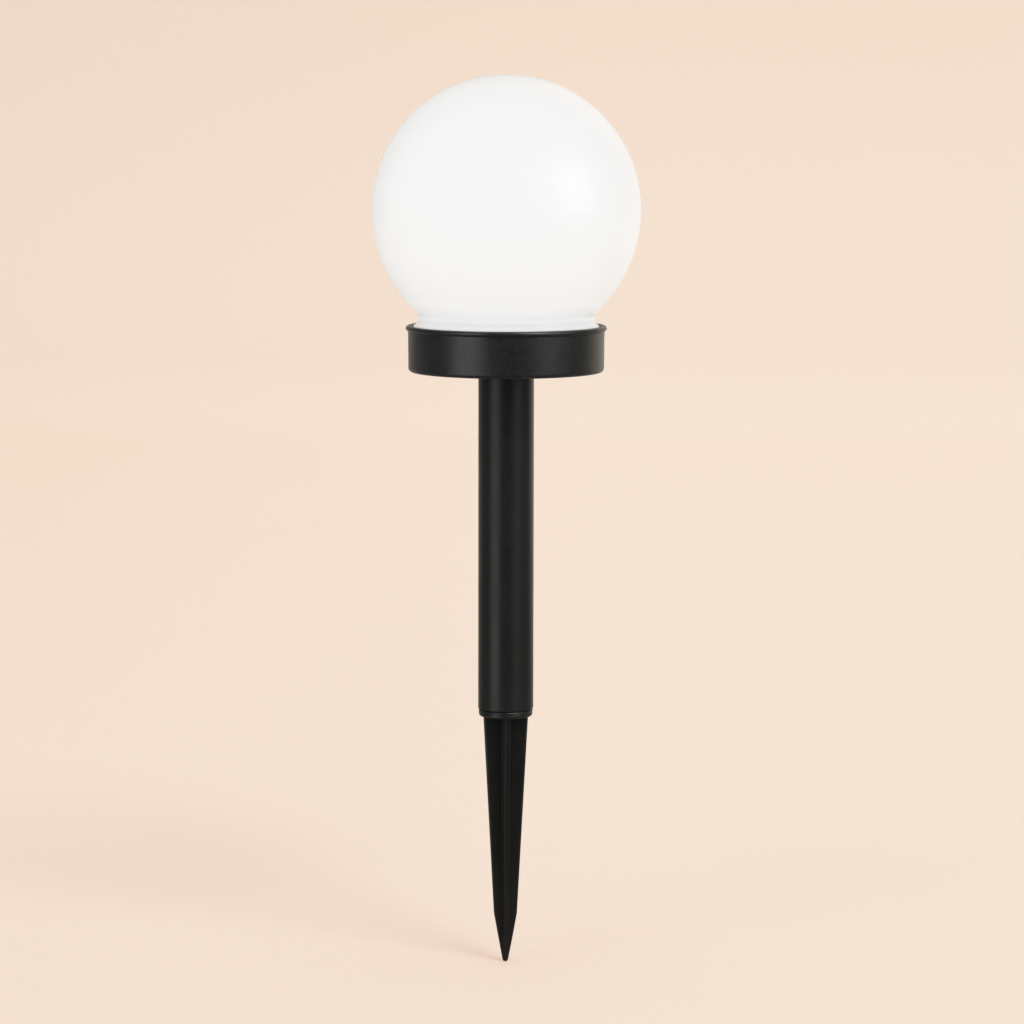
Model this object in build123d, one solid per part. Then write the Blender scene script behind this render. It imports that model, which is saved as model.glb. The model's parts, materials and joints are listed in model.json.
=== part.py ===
"""A solar garden globe light: an opal globe on a shallow black cup, a plain pole and a ground spike.

Units are millimetres. The origin is on the lamp's axis at the soil line, which is the underside of the
spike's collar. +Z is up. The battery lies behind the axis (+Y), and the switch in front of it (-Y).
"""

from build123d import *
import math
import os

# ------------------------------------------------------------------ driving dimensions
GLOBE_DIAMETER = 120.0
GLOBE_WALL = 1.6
GLOBE_CENTRE_Z = 228.4
BELLY_RADIUS = 62.8  # the lower half is a slightly longer arc than the upper half's sphere
BELLY_END_DEG = 42.5  # how far below the equator that arc runs, before a short straight cone
NECK_RADIUS = 39.55
NECK_LENGTH = 1.9
NECK_ARC_RADIUS = 1.4  # the arc into the neck, and the one out of it into the flared skirt
FLARE_DEG = 50.0  # the flare's slope from vertical
SKIRT_ARC_RADIUS = 1.9
SKIRT_RADIUS = 41.8

CUP_DIAMETER = 88.0
CUP_DRAFT = 0.15  # the wall is this much narrower at its foot
CUP_UNDERSIDE_Z = 156.3
CUP_HEIGHT = 20.7
CUP_WALL = 1.6
CUP_FLOOR = 2.4
CUP_CORNER_RADIUS = 1.8
BEAD_RADIUS = 1.2
BEAD_STAND_OUT = 1.0
RIM_ROUNDING = 0.5

DECK_UNDERSIDE_Z = 168.6
DECK_PLATE = 1.6
DECK_RADIUS = 42.2
PLATEAU_RADIUS = 38.0
PLATEAU_WALL = 1.6
PLATEAU_HEIGHT = 3.8

POLE_DIAMETER = 25.0
POLE_WALL = 1.2
PLUG_CLEARANCE = 0.1  # between the pole's bore and each plug in it
SPIGOT_LENGTH = 35.0
SPIKE_PLUG_LENGTH = 40.0

COLLAR_RADIUS = 12.3
COLLAR_SKIRT_RADIUS = 12.15
COLLAR_GROOVE_RADIUS = 12.0
COLLAR_FOOT_RADIUS = 11.0
COLLAR_SKIRT_BOTTOM_Z = 0.95
COLLAR_BAND_BOTTOM_Z = 2.05
COLLAR_TOP_Z = 3.1
COLLAR_STEP = 0.4  # the pole stands on this step, which leaves a thin shadow gap
SPIKE_LENGTH = 114.2
SPIKE_SHOULDER_Z = -91.5
SPIKE_TOP_HALF_WIDTH = 10.1
SPIKE_SHOULDER_HALF_WIDTH = 5.2
SPIKE_CORE_RADIUS = 1.9
SPIKE_TIP_RADIUS = 1.35
SPIKE_FIN = 2.6
SPIKE_TURN_DEG = 5.5  # the spike is pushed on a little turned, so no fin points straight ahead
FIN_BEVEL_WIDTH = 0.7
FIN_BEVEL_DEPTH = 0.25
PLUG_FIN = 1.8
PLUG_LEAD_IN = 4.0  # each plug narrows over this length at its free end
PLUG_LEAD_IN_DEPTH = 1.2

CELL_DIAMETER = 10.5  # a standard AAA cell
CELL_LENGTH = 44.5
CELL_Y = 21.3
CELL_AXIS_Z = 163.1

SWITCH_Y = -29.5
SWITCH_TRAVEL = 2.5

# ------------------------------------------------------------------ derived levels and radii
POLE_RADIUS = POLE_DIAMETER / 2
POLE_BORE = POLE_RADIUS - POLE_WALL
PLUG_RADIUS = POLE_BORE - PLUG_CLEARANCE
POLE_FOOT_Z = COLLAR_TOP_Z + COLLAR_STEP
CUP_RADIUS = CUP_DIAMETER / 2
CUP_BORE = CUP_RADIUS - CUP_WALL
FLOOR_TOP_Z = CUP_UNDERSIDE_Z + CUP_FLOOR
RIM_TOP_Z = CUP_UNDERSIDE_Z + CUP_HEIGHT
DECK_TOP_Z = DECK_UNDERSIDE_Z + DECK_PLATE
PLATEAU_TOP_Z = DECK_TOP_Z + PLATEAU_HEIGHT

SEAL_FLANGE = 0.8
SKIRT_GAP = 0.05  # the globe's skirt stands this far above the seal's flange
LIP_CLEARANCE = 0.15
SKIRT_BOTTOM_Z = DECK_TOP_Z + SEAL_FLANGE + SKIRT_GAP

PANEL_RADIUS = PLATEAU_RADIUS - PLATEAU_WALL - 0.2
PANEL_BOARD = 1.6
PANEL_HOLE_RADIUS = 7.2
PANEL_CELL_TOP_Z = DECK_TOP_Z + PANEL_BOARD + 0.3
GLAZING_TOP_Z = DECK_TOP_Z + PANEL_BOARD + 1.2
CELL_MARGIN = 1.6
CELL_HOLE_RADIUS = 9.4
CELL_SPACING = 1.4
RIBBON_WIDTH = 1.0
RIBBON = 0.15
RIBBONS_Y = (-25.0, -13.0, 13.0, 25.0)

BOARD_BOTTOM_Z = 161.6
BOARD_THICKNESS = 1.2
BOARD_TOP_Z = BOARD_BOTTOM_Z + BOARD_THICKNESS
BOARD_LENGTH = 34.0
BOARD_WIDTH = 17.0
BOARD_Y = -12.5
BOARD_POSTS = [(-14.0, -18.5), (14.0, -18.5)]
BOARD_PINS = [(-14.0, -6.5), (14.0, -6.5)]

BAY_HALF_LENGTH = 25.5
BAY_HALF_WIDTH = 5.7
FRAME_WALL = 1.2
FRAME_TOP_Z = DECK_UNDERSIDE_Z - 0.2
CONTACT_SHEET = 0.4
CONTACT_GAP = 0.1
TAB_Z = 166.6  # the underside of each contact's solder tab
TAB_REACH = 3.6
CAN_RADIUS = CELL_DIAMETER / 2 - 0.1
NUB_LENGTH = 0.8

COVER_PLATE = 1.2
COVER_SEAL = 0.3
COVER_CLEARANCE = 0.25
COVER_LENGTH = 68.0
COVER_TRIM_RADIUS = 40.4
COVER_CORNER_RADIUS = 1.5
COVER_BOSS_RADIUS = 2.7
COVER_BOSS_TOP_Z = 164.5
COVER_SCREWS = [(-30.2, 17.6), (30.2, 17.6)]
COVER_SCREW_HEAD_RADIUS = 2.05
COVER_SCREW_RADIUS = 0.95
COVER_INNER_Z = CUP_UNDERSIDE_Z + COVER_PLATE

THREE_WAYS = [(math.cos(math.radians(a)), math.sin(math.radians(a))) for a in (90, 210, 330)]
DECK_SCREW_CIRCLE = 35.5
DECK_SCREWS = [(DECK_SCREW_CIRCLE * c, DECK_SCREW_CIRCLE * s) for c, s in THREE_WAYS]
DECK_SCREW_HEAD_RADIUS = 2.7
DECK_SCREW_RADIUS = 1.3
DECK_BOSS_RADIUS = 3.0
SPIGOT_SCREW_CIRCLE = 8.0
SPIGOT_SCREWS = [(SPIGOT_SCREW_CIRCLE * c, SPIGOT_SCREW_CIRCLE * s) for c, s in THREE_WAYS]
SPIGOT_SCREW_RADIUS = 1.15
SPIGOT_SCREW_LENGTH = 12.0
SPIGOT_BOSS_RADIUS = 2.3
SPIGOT_DISC = 2.4
TENON_RADIUS = 4.6
TENON_CLEARANCE = 0.05

SMALL_SCREW_RADIUS = 0.75
SMALL_PILOT_RADIUS = 0.8
SMALL_BOSS_RADIUS = 2.2
REST_PIN_RADIUS = 1.6

WELL_TOP_Z = CUP_UNDERSIDE_Z + 1.4
WELL_LENGTH = 16.0
WELL_WIDTH = 8.4
WINDOW_LENGTH = 7.0
WINDOW_WIDTH = 3.4
SWITCH_FOOT_Z = 160.2
SWITCH_FLANGE = 0.6
SWITCH_CASE_HEIGHT = 4.2
SWITCH_CASE_WIDTH = 5.0
TERMINAL_PITCH = 3.0
SWITCH_SCREWS = [(-7.6, SWITCH_Y), (7.6, SWITCH_Y)]
SWITCH_REST_X = -SWITCH_TRAVEL / 2

LED_FOOT_Z = DECK_TOP_Z + 0.2
LED_BOARD_RADIUS = 9.0
LED_LEG_X = 1.27
LEG_HOLE_RADIUS = 2.2  # the deck's hole that both legs pass
LED_RADIUS = 2.5
LED_FLANGE_RADIUS = 2.9
LED_FLANGE = 1.0
LED_STRAIGHT_HEIGHT = 6.2
STAKES_X = (-6.0, 6.0)
STAKE_RADIUS = 0.9
STAKE_HEAD_HEIGHT = 0.6
WIRE_RADIUS = 0.6
WIRE_CLEARANCE = 0.2
SOLAR_WIRE_X = 3.0
SOLAR_WIRE_Y = -11.0


# ------------------------------------------------------------------ shared shapes
def rod(radius, bottom, top, x=0.0, y=0.0):
    """An upright cylinder between two levels."""
    cylinder = Cylinder(radius, top - bottom, align=(Align.CENTER, Align.CENTER, Align.MIN))
    return Pos(x, y, bottom) * cylinder


def taper(bottom_radius, top_radius, bottom, top, x=0.0, y=0.0):
    """An upright cone between two levels."""
    cone = Cone(bottom_radius, top_radius, top - bottom, align=(Align.CENTER, Align.CENTER, Align.MIN))
    return Pos(x, y, bottom) * cone


def block(length, width, bottom, top, x=0.0, y=0.0):
    """An upright box between two levels, centred on x, y."""
    box = Box(length, width, top - bottom, align=(Align.CENTER, Align.CENTER, Align.MIN))
    return Pos(x, y, bottom) * box


def slab(sketch, bottom, top):
    """A flat sketch raised between two levels."""
    return extrude(Pos(0, 0, bottom) * sketch, top - bottom)


def turned(edges):
    """A closed outline of radius and height, turned about the lamp's axis."""
    return revolve(Plane.XZ * make_face(Curve() + edges), Axis.Z)


def turned_polygon(points):
    """A solid of revolution with straight-sided section."""
    return revolve(Plane.XZ * make_face(Polyline(*points, close=True)), Axis.Z)


def cross_slot(size, depth, z, up):
    """The cutter for a screw head's cross recess; up is +1 where the recess opens upwards."""
    arm = 0.28 * size
    low = z - depth if up > 0 else z
    return block(size, arm, low, low + depth) + block(arm, size, low, low + depth)


def pan_screw(head_radius, shank_radius, seat, length):
    """A pan-head screw that points down; its head rests on the level named seat."""
    head_height, rounding = 0.62 * head_radius, 0.3 * head_radius
    point_radius, point_top = 0.35 * shank_radius, seat - length + 2 * shank_radius
    slot_size, slot_depth = 1.2 * head_radius, 0.35 * head_height
    head = fillet(rod(head_radius, seat, seat + head_height).edges().group_by(Axis.Z)[-1], rounding)
    point = taper(point_radius, shank_radius, seat - length, point_top)
    shank = rod(shank_radius, point_top, seat)
    return head + shank + point - cross_slot(slot_size, slot_depth, seat + head_height, 1)


def countersunk_screw(head_radius, shank_radius, face, length):
    """A countersunk screw that points up; its flat head lies flush with the level named face."""
    head_height = head_radius - shank_radius
    point_radius, point_bottom = 0.35 * shank_radius, face + length - 2 * shank_radius
    slot_size, slot_depth = 1.25 * head_radius, 0.45 * head_height
    head = taper(head_radius, shank_radius, face, face + head_height)
    shank = rod(shank_radius, face + head_height, point_bottom)
    point = taper(shank_radius, point_radius, point_bottom, face + length)
    return head + shank + point - cross_slot(slot_size, slot_depth, face, -1)


def at_each(places, shape):
    """The same shape at several places, as one group of separate solids."""
    return Compound([Pos(x, y, 0) * shape for x, y in places])


def wire_along(points):
    """A round lead that follows straight runs joined by arcs as large as the runs allow."""
    places = [Vector(*p) for p in points]
    share_of_run = 0.45
    radii = []
    for before, corner, after in zip(places, places[1:], places[2:]):
        runs = (corner - before, after - corner)
        half_turn = math.radians(runs[0].get_angle(runs[1])) / 2
        radii.append(share_of_run * min(runs[0].length, runs[1].length) / math.tan(half_turn))
    path = FilletPolyline(*places, radius=radii) if radii else Line(*places)
    section = Plane(origin=path @ 0, z_dir=path % 0) * Circle(WIRE_RADIUS)
    lead = sweep(section, path)
    print("lead", "radii", [round(r, 1) for r in radii], "length", round(path.length, 1),
          "volume ratio", round(lead.volume / (math.pi * WIRE_RADIUS**2 * path.length), 3))
    return lead


# ------------------------------------------------------------------ the globe
def globe_side(inset):
    """One side of the globe's section, from its top to its skirt, set in by inset from the outer face."""
    radius = GLOBE_DIAMETER / 2 - inset
    belly = BELLY_RADIUS - inset
    neck = NECK_ARC_RADIUS + inset
    skirt = SKIRT_ARC_RADIUS - inset

    def around(centre, distance, degrees):
        angle = math.radians(degrees)
        return centre + Vector(math.cos(angle), math.sin(angle)) * distance

    def centre_below(above, x, distance, degrees):
        """The centre at x, so far from the one above that both arcs meet a line of this slope."""
        angle = math.radians(degrees)
        return Vector(x, above.Y - (distance - abs(x - above.X) * math.cos(angle)) / math.sin(angle))

    belly_centre = Vector(GLOBE_DIAMETER / 2 - BELLY_RADIUS, GLOBE_CENTRE_Z)
    neck_x = NECK_RADIUS + NECK_ARC_RADIUS
    neck_centre = centre_below(belly_centre, neck_x, BELLY_RADIUS + NECK_ARC_RADIUS, BELLY_END_DEG)
    flare_centre = neck_centre - Vector(0, NECK_LENGTH)
    skirt_x = SKIRT_RADIUS - SKIRT_ARC_RADIUS
    skirt_centre = centre_below(flare_centre, skirt_x, NECK_ARC_RADIUS + SKIRT_ARC_RADIUS, FLARE_DEG)

    centre = Vector(0, GLOBE_CENTRE_Z)
    top = around(centre, radius, 90)
    equator = around(centre, radius, 0)
    belly_end = around(belly_centre, belly, -BELLY_END_DEG)
    neck_start = around(neck_centre, neck, 180 - BELLY_END_DEG)
    neck_top = around(neck_centre, neck, 180)
    neck_foot = around(flare_centre, neck, 180)
    flare_top = around(flare_centre, neck, 180 + FLARE_DEG)
    flare_foot = around(skirt_centre, skirt, FLARE_DEG)
    skirt_top = around(skirt_centre, skirt, 0)
    skirt_foot = Vector(skirt_top.X, SKIRT_BOTTOM_Z)
    return top, skirt_foot, [
        ThreePointArc(top, around(centre, radius, 45), equator),
        ThreePointArc(equator, around(belly_centre, belly, -BELLY_END_DEG / 2), belly_end),
        Line(belly_end, neck_start),
        ThreePointArc(neck_start, around(neck_centre, neck, 180 - BELLY_END_DEG / 2), neck_top),
        Line(neck_top, neck_foot),
        ThreePointArc(neck_foot, around(flare_centre, neck, 180 + FLARE_DEG / 2), flare_top),
        Line(flare_top, flare_foot),
        ThreePointArc(flare_foot, around(skirt_centre, skirt, FLARE_DEG / 2), skirt_top),
        Line(skirt_top, skirt_foot),
    ]


def globe_diffuser():
    """The opal globe: a thin shell with a pinched neck and a flared skirt that stands in the cup."""
    outer_top, outer_foot, outer = globe_side(0)
    inner_top, inner_foot, inner = globe_side(GLOBE_WALL)
    return turned(outer + inner + [Line(outer_top, inner_top), Line(outer_foot, inner_foot)])


def neck_seal():
    """The rubber ring under the skirt, with an upstand whose two small lips grip the skirt from inside."""
    inside, wall = PLATEAU_RADIUS, PLATEAU_RADIUS + 0.9
    lip, lip_half_height = SKIRT_RADIUS - GLOBE_WALL - LIP_CLEARANCE, 0.5
    outside = DECK_RADIUS - 0.4
    low, flange_top, top = DECK_TOP_Z, DECK_TOP_Z + SEAL_FLANGE, DECK_TOP_Z + 3.5
    lips = []
    for lip_z in (low + 1.5, low + 2.7):
        lips += [(wall, lip_z - lip_half_height), (lip, lip_z), (wall, lip_z + lip_half_height)]
    return turned_polygon([
        (inside, low), (outside, low), (outside, flange_top), (wall, flange_top), *lips,
        (wall, top), (inside, top),
    ])


# ------------------------------------------------------------------ the cup and its fittings
def cover_outline(inset):
    """The battery cover's outline: a rectangle whose outer corners follow the cup."""
    clear_of_pole, behind_cell = 1.4, 7.7
    front, back = POLE_RADIUS + clear_of_pole, CELL_Y + behind_cell
    plan = Pos(0, (front + back) / 2) * Rectangle(COVER_LENGTH - 2 * inset, back - front - 2 * inset)
    plan &= Circle(COVER_TRIM_RADIUS - inset)
    return fillet(plan.vertices(), COVER_CORNER_RADIUS - inset)


def bay_outline(grow):
    """The battery opening's outline, grown by grow on each side."""
    plan = Rectangle(2 * (BAY_HALF_LENGTH + grow), 2 * (BAY_HALF_WIDTH + grow))
    return Pos(0, CELL_Y) * plan


def lamp_cup():
    """The shallow cup with its rolled rim, screw bosses, switch well and battery opening."""
    r, base = CUP_RADIUS, CUP_UNDERSIDE_Z
    foot = r - CUP_DRAFT
    corner = CUP_CORNER_RADIUS
    diagonal = corner * (1 - math.cos(math.radians(45)))
    bead_z = RIM_TOP_Z - BEAD_RADIUS
    shell = turned([
        Line((0, base), (foot - corner, base)),
        ThreePointArc((foot - corner, base), (foot - diagonal, base + diagonal), (foot, base + corner)),
        Line((foot, base + corner), (r, bead_z)),
        Line((r, bead_z), (CUP_BORE, bead_z)),
        Line((CUP_BORE, bead_z), (CUP_BORE, FLOOR_TOP_Z)),
        Line((CUP_BORE, FLOOR_TOP_Z), (0, FLOOR_TOP_Z)),
        Line((0, FLOOR_TOP_Z), (0, base)),
    ])
    # The rim: the wall's top turns out into a half-round bead that stands proud of the wall.
    outer = r + BEAD_STAND_OUT
    bead_x, bead_foot = outer - BEAD_RADIUS, bead_z - BEAD_RADIUS
    lip_x, lip_z = CUP_BORE + RIM_ROUNDING, RIM_TOP_Z - RIM_ROUNDING
    eased = RIM_ROUNDING * (1 - math.cos(math.radians(45)))
    shell += turned([
        Line((CUP_BORE, bead_foot), (CUP_BORE, lip_z)),
        ThreePointArc((CUP_BORE, lip_z), (CUP_BORE + eased, RIM_TOP_Z - eased), (lip_x, RIM_TOP_Z)),
        Line((lip_x, RIM_TOP_Z), (bead_x, RIM_TOP_Z)),
        ThreePointArc((bead_x, RIM_TOP_Z), (outer, bead_z), (bead_x, bead_foot)),
        Line((bead_x, bead_foot), (CUP_BORE, bead_foot)),
    ])
    for x, y in COVER_SCREWS:
        shell += rod(COVER_BOSS_RADIUS, FLOOR_TOP_Z, COVER_BOSS_TOP_Z, x, y)
    for x, y in SWITCH_SCREWS:
        shell += rod(SMALL_BOSS_RADIUS, FLOOR_TOP_Z, SWITCH_FOOT_Z, x, y)
    for x, y in BOARD_POSTS:
        shell += rod(SMALL_BOSS_RADIUS, FLOOR_TOP_Z, BOARD_BOTTOM_Z, x, y)
    for x, y in BOARD_PINS:
        shell += rod(REST_PIN_RADIUS, FLOOR_TOP_Z, BOARD_BOTTOM_Z, x, y)

    shell -= slab(cover_outline(0), base, COVER_INNER_Z + COVER_SEAL)
    shell -= slab(bay_outline(0), base, FLOOR_TOP_Z)
    shell -= slab(Pos(0, SWITCH_Y) * SlotOverall(WELL_LENGTH, WELL_WIDTH), base, WELL_TOP_Z)
    shell -= block(WINDOW_LENGTH, WINDOW_WIDTH, base, FLOOR_TOP_Z, 0, SWITCH_Y)
    shell -= rod(TENON_RADIUS, base, FLOOR_TOP_Z)
    for x, y in COVER_SCREWS:
        shell -= rod(COVER_SCREW_RADIUS + 0.05, base, COVER_BOSS_TOP_Z - 0.5, x, y)
    for x, y in SWITCH_SCREWS:
        shell -= rod(SMALL_PILOT_RADIUS, WELL_TOP_Z + 0.4, SWITCH_FOOT_Z, x, y)
    for x, y in BOARD_POSTS:
        shell -= rod(SMALL_PILOT_RADIUS, FLOOR_TOP_Z, BOARD_BOTTOM_Z, x, y)
    for x, y in SPIGOT_SCREWS:
        shell -= rod(SPIGOT_SCREW_RADIUS + 0.25, base, FLOOR_TOP_Z, x, y)
    hole, sink, sink_depth = DECK_SCREW_RADIUS + 0.4, DECK_SCREW_HEAD_RADIUS + 0.2, 1.2
    for x, y in DECK_SCREWS:
        shell -= rod(hole, base, FLOOR_TOP_Z, x, y)
        shell -= taper(sink, hole, base, base + sink_depth, x, y)
    return shell


def solar_deck():
    """The round deck that closes the cup, with the panel's rim, three screw bosses and two board stakes."""
    rim_bore = PLATEAU_RADIUS - PLATEAU_WALL
    deck = rod(DECK_RADIUS, DECK_UNDERSIDE_Z, DECK_TOP_Z)
    deck += rod(PLATEAU_RADIUS, DECK_TOP_Z, PLATEAU_TOP_Z) - rod(rim_bore, DECK_TOP_Z, PLATEAU_TOP_Z)
    deck = fillet(deck.edges().group_by(Axis.Z)[-1], 0.4)
    for x, y in DECK_SCREWS:
        deck += rod(DECK_BOSS_RADIUS, FLOOR_TOP_Z + 0.1, DECK_UNDERSIDE_Z, x, y)
        deck -= rod(DECK_SCREW_RADIUS + 0.05, FLOOR_TOP_Z, DECK_UNDERSIDE_Z + 0.4, x, y)
    stake_foot = DECK_UNDERSIDE_Z - BOARD_THICKNESS - STAKE_HEAD_HEIGHT
    stake_top = stake_foot + STAKE_HEAD_HEIGHT
    for x in STAKES_X:
        deck += rod(STAKE_RADIUS, stake_foot, DECK_UNDERSIDE_Z, x, 0)
        deck += taper(STAKE_RADIUS, STAKE_RADIUS + 0.6, stake_foot, stake_top, x, 0)
    deck -= rod(LEG_HOLE_RADIUS, DECK_UNDERSIDE_Z, DECK_TOP_Z)
    for x in (-SOLAR_WIRE_X, SOLAR_WIRE_X):
        deck -= rod(WIRE_RADIUS + WIRE_CLEARANCE, DECK_UNDERSIDE_Z, DECK_TOP_Z, x, SOLAR_WIRE_Y)
    return deck


# ------------------------------------------------------------------ the solar panel
def panel_ring(bottom, top):
    """A disc of the panel's outline with the light's hole through it."""
    return rod(PANEL_RADIUS, bottom, top) - rod(PANEL_HOLE_RADIUS, bottom, top)


def solar_cells():
    """Four quarter-round silicon cells with straight gaps between them."""
    bottom, top = DECK_TOP_Z + PANEL_BOARD, PANEL_CELL_TOP_Z
    cells = rod(PANEL_RADIUS - CELL_MARGIN, bottom, top) - rod(CELL_HOLE_RADIUS, bottom, top)
    cells -= block(2 * PANEL_RADIUS, CELL_SPACING, bottom, top)
    cells -= block(CELL_SPACING, 2 * PANEL_RADIUS, bottom, top)
    return Compound(cells.solids())


def cell_ribbons():
    """Two flat tinned ribbons across each cell."""
    start, end_circle = 1.6, PANEL_RADIUS - 2.4
    ribbons = []
    for ribbon_y in RIBBONS_Y:
        length = math.sqrt(end_circle**2 - ribbon_y**2) - start
        ribbon = block(length, RIBBON_WIDTH, PANEL_CELL_TOP_Z, PANEL_CELL_TOP_Z + RIBBON)
        ribbons += [Pos(side * (start + length / 2), ribbon_y, 0) * ribbon for side in (-1, 1)]
    return Compound(ribbons)


def solar_glazing(cells, ribbons):
    """The clear resin poured over the cells; it fills the gaps between them."""
    meniscus = 0.5
    pane = panel_ring(DECK_TOP_Z + PANEL_BOARD, GLAZING_TOP_Z)
    pane = fillet(pane.edges().group_by(Axis.Z)[-1].sort_by(SortBy.RADIUS)[-1], meniscus)
    for solid in cells.solids() + ribbons.solids():
        pane -= solid
    return pane


# ------------------------------------------------------------------ the light source
def led_bulb():
    """A clear 5 mm light-emitting diode with its base flange."""
    flange_top, dome_z = LED_FOOT_Z + LED_FLANGE, LED_FOOT_Z + LED_STRAIGHT_HEIGHT
    body = rod(LED_FLANGE_RADIUS, LED_FOOT_Z, flange_top) + rod(LED_RADIUS, flange_top, dome_z)
    return body + Pos(0, 0, dome_z) * Sphere(LED_RADIUS)


def led_legs():
    """The diode's two legs, soldered through the small board below the deck."""
    thickness, end = 0.5, DECK_UNDERSIDE_Z - BOARD_THICKNESS - 1.0
    return at_each([(-LED_LEG_X, 0), (LED_LEG_X, 0)], block(thickness, thickness, end, LED_FOOT_Z))


def led_board():
    """The round board that holds the diode, staked under the deck."""
    low, leg_hole = DECK_UNDERSIDE_Z - BOARD_THICKNESS, 0.45
    board = rod(LED_BOARD_RADIUS, low, DECK_UNDERSIDE_Z)
    for x in (-LED_LEG_X, LED_LEG_X):
        board -= rod(leg_hole, low, DECK_UNDERSIDE_Z, x, 0)
    for x in STAKES_X:
        board -= rod(STAKE_RADIUS + 0.05, low, DECK_UNDERSIDE_Z, x, 0)
    return board


def led_reflector():
    """The white dish that fills the panel's hole and throws the light up into the globe."""
    low, rim = DECK_TOP_Z, GLAZING_TOP_Z
    inside, outside = LED_FLANGE_RADIUS + 0.2, PANEL_HOLE_RADIUS - 0.1
    flange, mouth = PANEL_HOLE_RADIUS + 1.4, PANEL_HOLE_RADIUS + 0.4
    return turned_polygon([
        (inside, low), (outside, low), (outside, rim + 0.05), (flange, rim + 0.05), (flange, rim + 0.6),
        (mouth, rim + 0.9), (inside, low + 1.2),
    ])


# ------------------------------------------------------------------ the electronics
def circuit_board():
    """The driver board on its two screwed posts and two rest pins."""
    board = block(BOARD_LENGTH, BOARD_WIDTH, BOARD_BOTTOM_Z, BOARD_TOP_Z, 0, BOARD_Y)
    for x, y in BOARD_POSTS:
        board -= rod(SMALL_SCREW_RADIUS + 0.35, BOARD_BOTTOM_Z, BOARD_TOP_Z, x, y)
    return board


def driver_chip():
    """The four-legged charge and boost controller."""
    x, y = -4.5, -16.5
    length, width, height, stand_off, pitch = 5.0, 3.6, 1.8, 0.8, 1.27
    belly = BOARD_TOP_Z + stand_off
    body = block(length, width, belly, belly + height, x, y)
    body = chamfer(body.edges().group_by(Axis.Z)[-1], 0.3)
    for k in range(4):
        body += block(0.45, 0.4, BOARD_TOP_Z, belly, x + (k - 1.5) * pitch, y)
    return body


def boost_inductor():
    """A small drum-core inductor, stood on end."""
    x, y = 4.5, -16.0
    flange_radius, drum_radius, flange, drum = 2.5, 1.7, 1.0, 2.2
    drum_foot = BOARD_TOP_Z + flange
    drum_top = drum_foot + drum
    flanges = rod(flange_radius, BOARD_TOP_Z, drum_foot, x, y)
    flanges += rod(flange_radius, drum_top, drum_top + flange, x, y)
    return flanges + rod(drum_radius, drum_foot, drum_top, x, y)


def storage_capacitor():
    """A can capacitor with its crimp groove."""
    x, y = -11.0, -12.5
    radius, groove_radius, height = 2.2, 2.0, 4.6
    foot, groove_bottom, groove_top = BOARD_TOP_Z, BOARD_TOP_Z + 0.9, BOARD_TOP_Z + 1.3
    can = rod(radius, foot, groove_bottom, x, y) + rod(radius, groove_top, foot + height, x, y)
    return can + rod(groove_radius, groove_bottom, groove_top, x, y)


def switch_body():
    """The slide switch's case, with its screw flange, three terminals and the lever's track."""
    foot = SWITCH_FOOT_Z
    flange_top, case_top = foot + SWITCH_FLANGE, foot + SWITCH_CASE_HEIGHT
    flange_length, case_length, terminal_height = 19.6, 10.6, 1.8
    track_length, track_width, track_depth = 6.4, 2.9, 1.8
    body = block(flange_length, SWITCH_CASE_WIDTH, foot, flange_top, 0, SWITCH_Y)
    body += block(case_length, SWITCH_CASE_WIDTH, foot, case_top, 0, SWITCH_Y)
    body -= block(track_length, track_width, foot, foot + track_depth, 0, SWITCH_Y)
    for x, y in SWITCH_SCREWS:
        body -= rod(SMALL_SCREW_RADIUS + 0.25, foot, flange_top, x, y)
    for k in (-1, 0, 1):
        body += block(0.5, 1.2, case_top, case_top + terminal_height, TERMINAL_PITCH * k, SWITCH_Y)
    return body


def switch_knob():
    """The sliding thumb piece: a ribbed cap in the well under the cup, with a stem up to the switch."""
    x, top = SWITCH_REST_X, WELL_TOP_Z - 0.2
    cap_foot, rib_foot = CUP_UNDERSIDE_Z + 0.3, CUP_UNDERSIDE_Z + 0.05
    cap_length, cap_width, rib_length, rib_pitch = 6.4, 6.0, 4.4, 1.7
    cap = block(cap_length, cap_width, cap_foot, top, x, SWITCH_Y)
    cap = fillet(cap.edges().filter_by(Axis.Z), 1.0)
    knob = cap + block(3.2, 2.4, top, SWITCH_FOOT_Z + 1.5, x, SWITCH_Y)
    for k in (-1, 0, 1):
        knob += block(0.7, rib_length, rib_foot, cap_foot, x + rib_pitch * k, SWITCH_Y)
    return knob


# ------------------------------------------------------------------ the battery
def battery_can():
    """The cell's steel can with its raised positive nub, lying along X."""
    positive_x = BAY_HALF_LENGTH - CONTACT_SHEET - CONTACT_GAP
    lying = Pos(positive_x - CELL_LENGTH, CELL_Y, CELL_AXIS_Z) * Rot(0, 90, 0)
    bottom_up = (Align.CENTER, Align.CENTER, Align.MIN)
    can = Cylinder(CAN_RADIUS, CELL_LENGTH - NUB_LENGTH, align=bottom_up)
    can = fillet(can.edges(), 0.5)
    nub_radius = 1.9
    can += Pos(0, 0, CELL_LENGTH - NUB_LENGTH) * Cylinder(nub_radius, NUB_LENGTH, align=bottom_up)
    return lying * can


def battery_sleeve(can):
    """The shrunk plastic sleeve round the can."""
    bottom_up = (Align.CENTER, Align.CENTER, Align.MIN)
    bare_end = 0.7
    length = CELL_LENGTH - NUB_LENGTH - 2 * bare_end
    tube = Cylinder(CELL_DIAMETER / 2, length, align=bottom_up)
    tube -= Cylinder(CAN_RADIUS, length, align=bottom_up)
    return Pos(can.bounding_box().min.X + bare_end, CELL_Y, CELL_AXIS_Z) * Rot(0, 90, 0) * tube


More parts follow.
